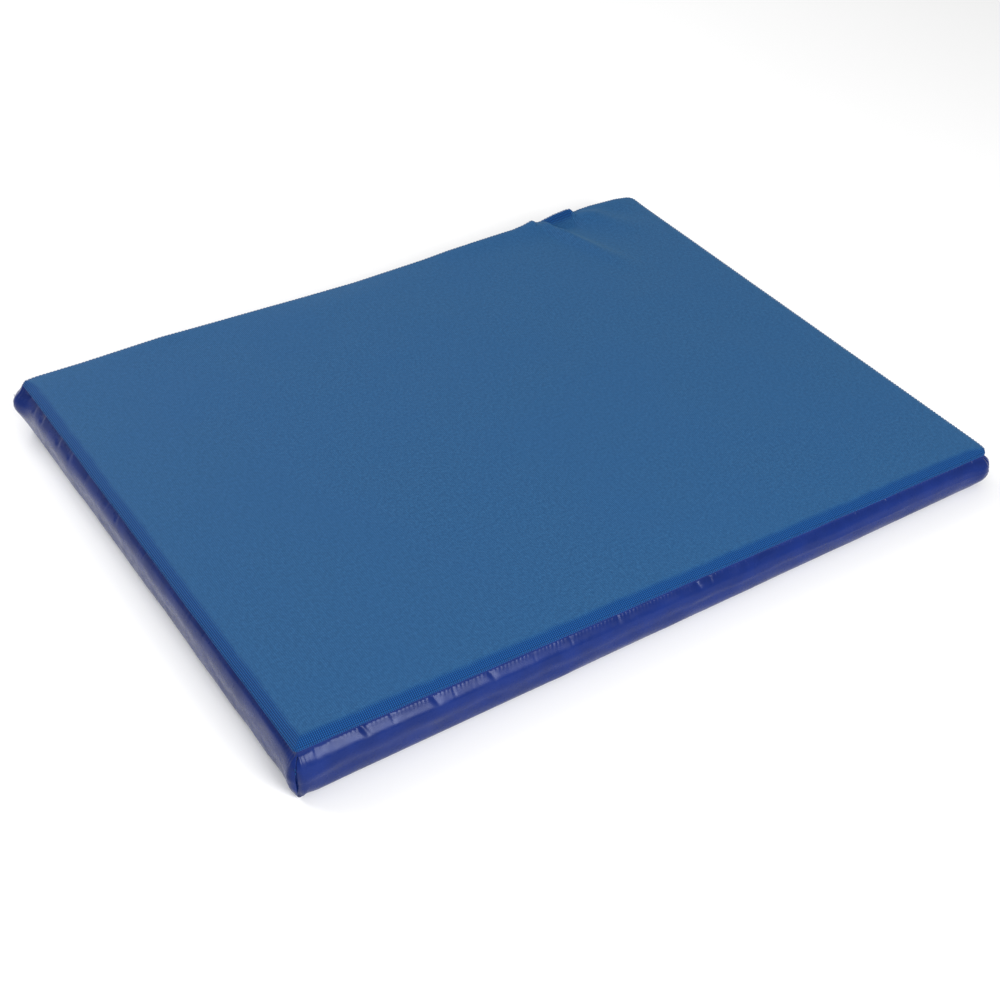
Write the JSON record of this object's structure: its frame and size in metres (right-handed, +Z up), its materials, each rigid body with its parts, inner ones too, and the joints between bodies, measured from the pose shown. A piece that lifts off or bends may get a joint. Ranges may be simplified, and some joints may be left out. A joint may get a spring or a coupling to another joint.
{
  "type": "incline wedge mat",
  "caption": "Low incline gymnastics mat: a foam wedge in a sewn cover with an anti-slip fabric face and glossy PVC sides, closed by a rear zip.",
  "frame": {"origin": "centre of the base of the whole object's box, on the floor", "axes": "+X along the incline from the thick end to the thin end, +Y to the rear side with the zip, +Z up"},
  "size_m": [1.2, 0.936, 0.096],
  "materials": {
    "foam": "open-cell foam, matte",
    "anti_slip_fabric": "matte nubbly anti-slip weave",
    "pvc": "glossy PVC-coated fabric",
    "thread": "bonded polyester thread",
    "zip_tape": "woven polyester tape",
    "zip_teeth": "satin nylon",
    "metal": "satin nickel plate"
  },
  "bodies": {
    "mat": {"foam_core": "foam", "anti_slip_face": "anti_slip_fabric", "base_sheet": "pvc", "front_band": "pvc", "left_band": "pvc", "right_band": "pvc", "rear_strip_upper": "pvc", "rear_strip_lower": "pvc", "rear_end_left": "pvc", "rear_end_right": "pvc", "face_seam_thread": "thread", "base_seam_thread": "thread", "corner_seam_threads": "thread", "zip_stitching": "thread", "zip_tape_upper": "zip_tape", "zip_tape_lower": "zip_tape", "zip_row_upper": "zip_teeth", "zip_row_lower": "zip_teeth", "zip_stop_closed": "metal", "zip_stop_open": "metal"},
    "slider": {"slider_body": "metal", "slider_bail": "metal"},
    "pull": {"pull_tab": "metal"}
  },
  "joints": [
    {"name": "zip_slide", "type": "slide", "parent": "mat", "child": "slider", "axis": [-1, 0, 0], "range_m": [0, 1.0294]},
    {"name": "pull_swing", "type": "hinge", "parent": "slider", "child": "pull", "pos_m": [0.5127, 0.4664, 0.03], "axis": [0, 0, -1], "range_deg": [0, 180]}
  ]
}
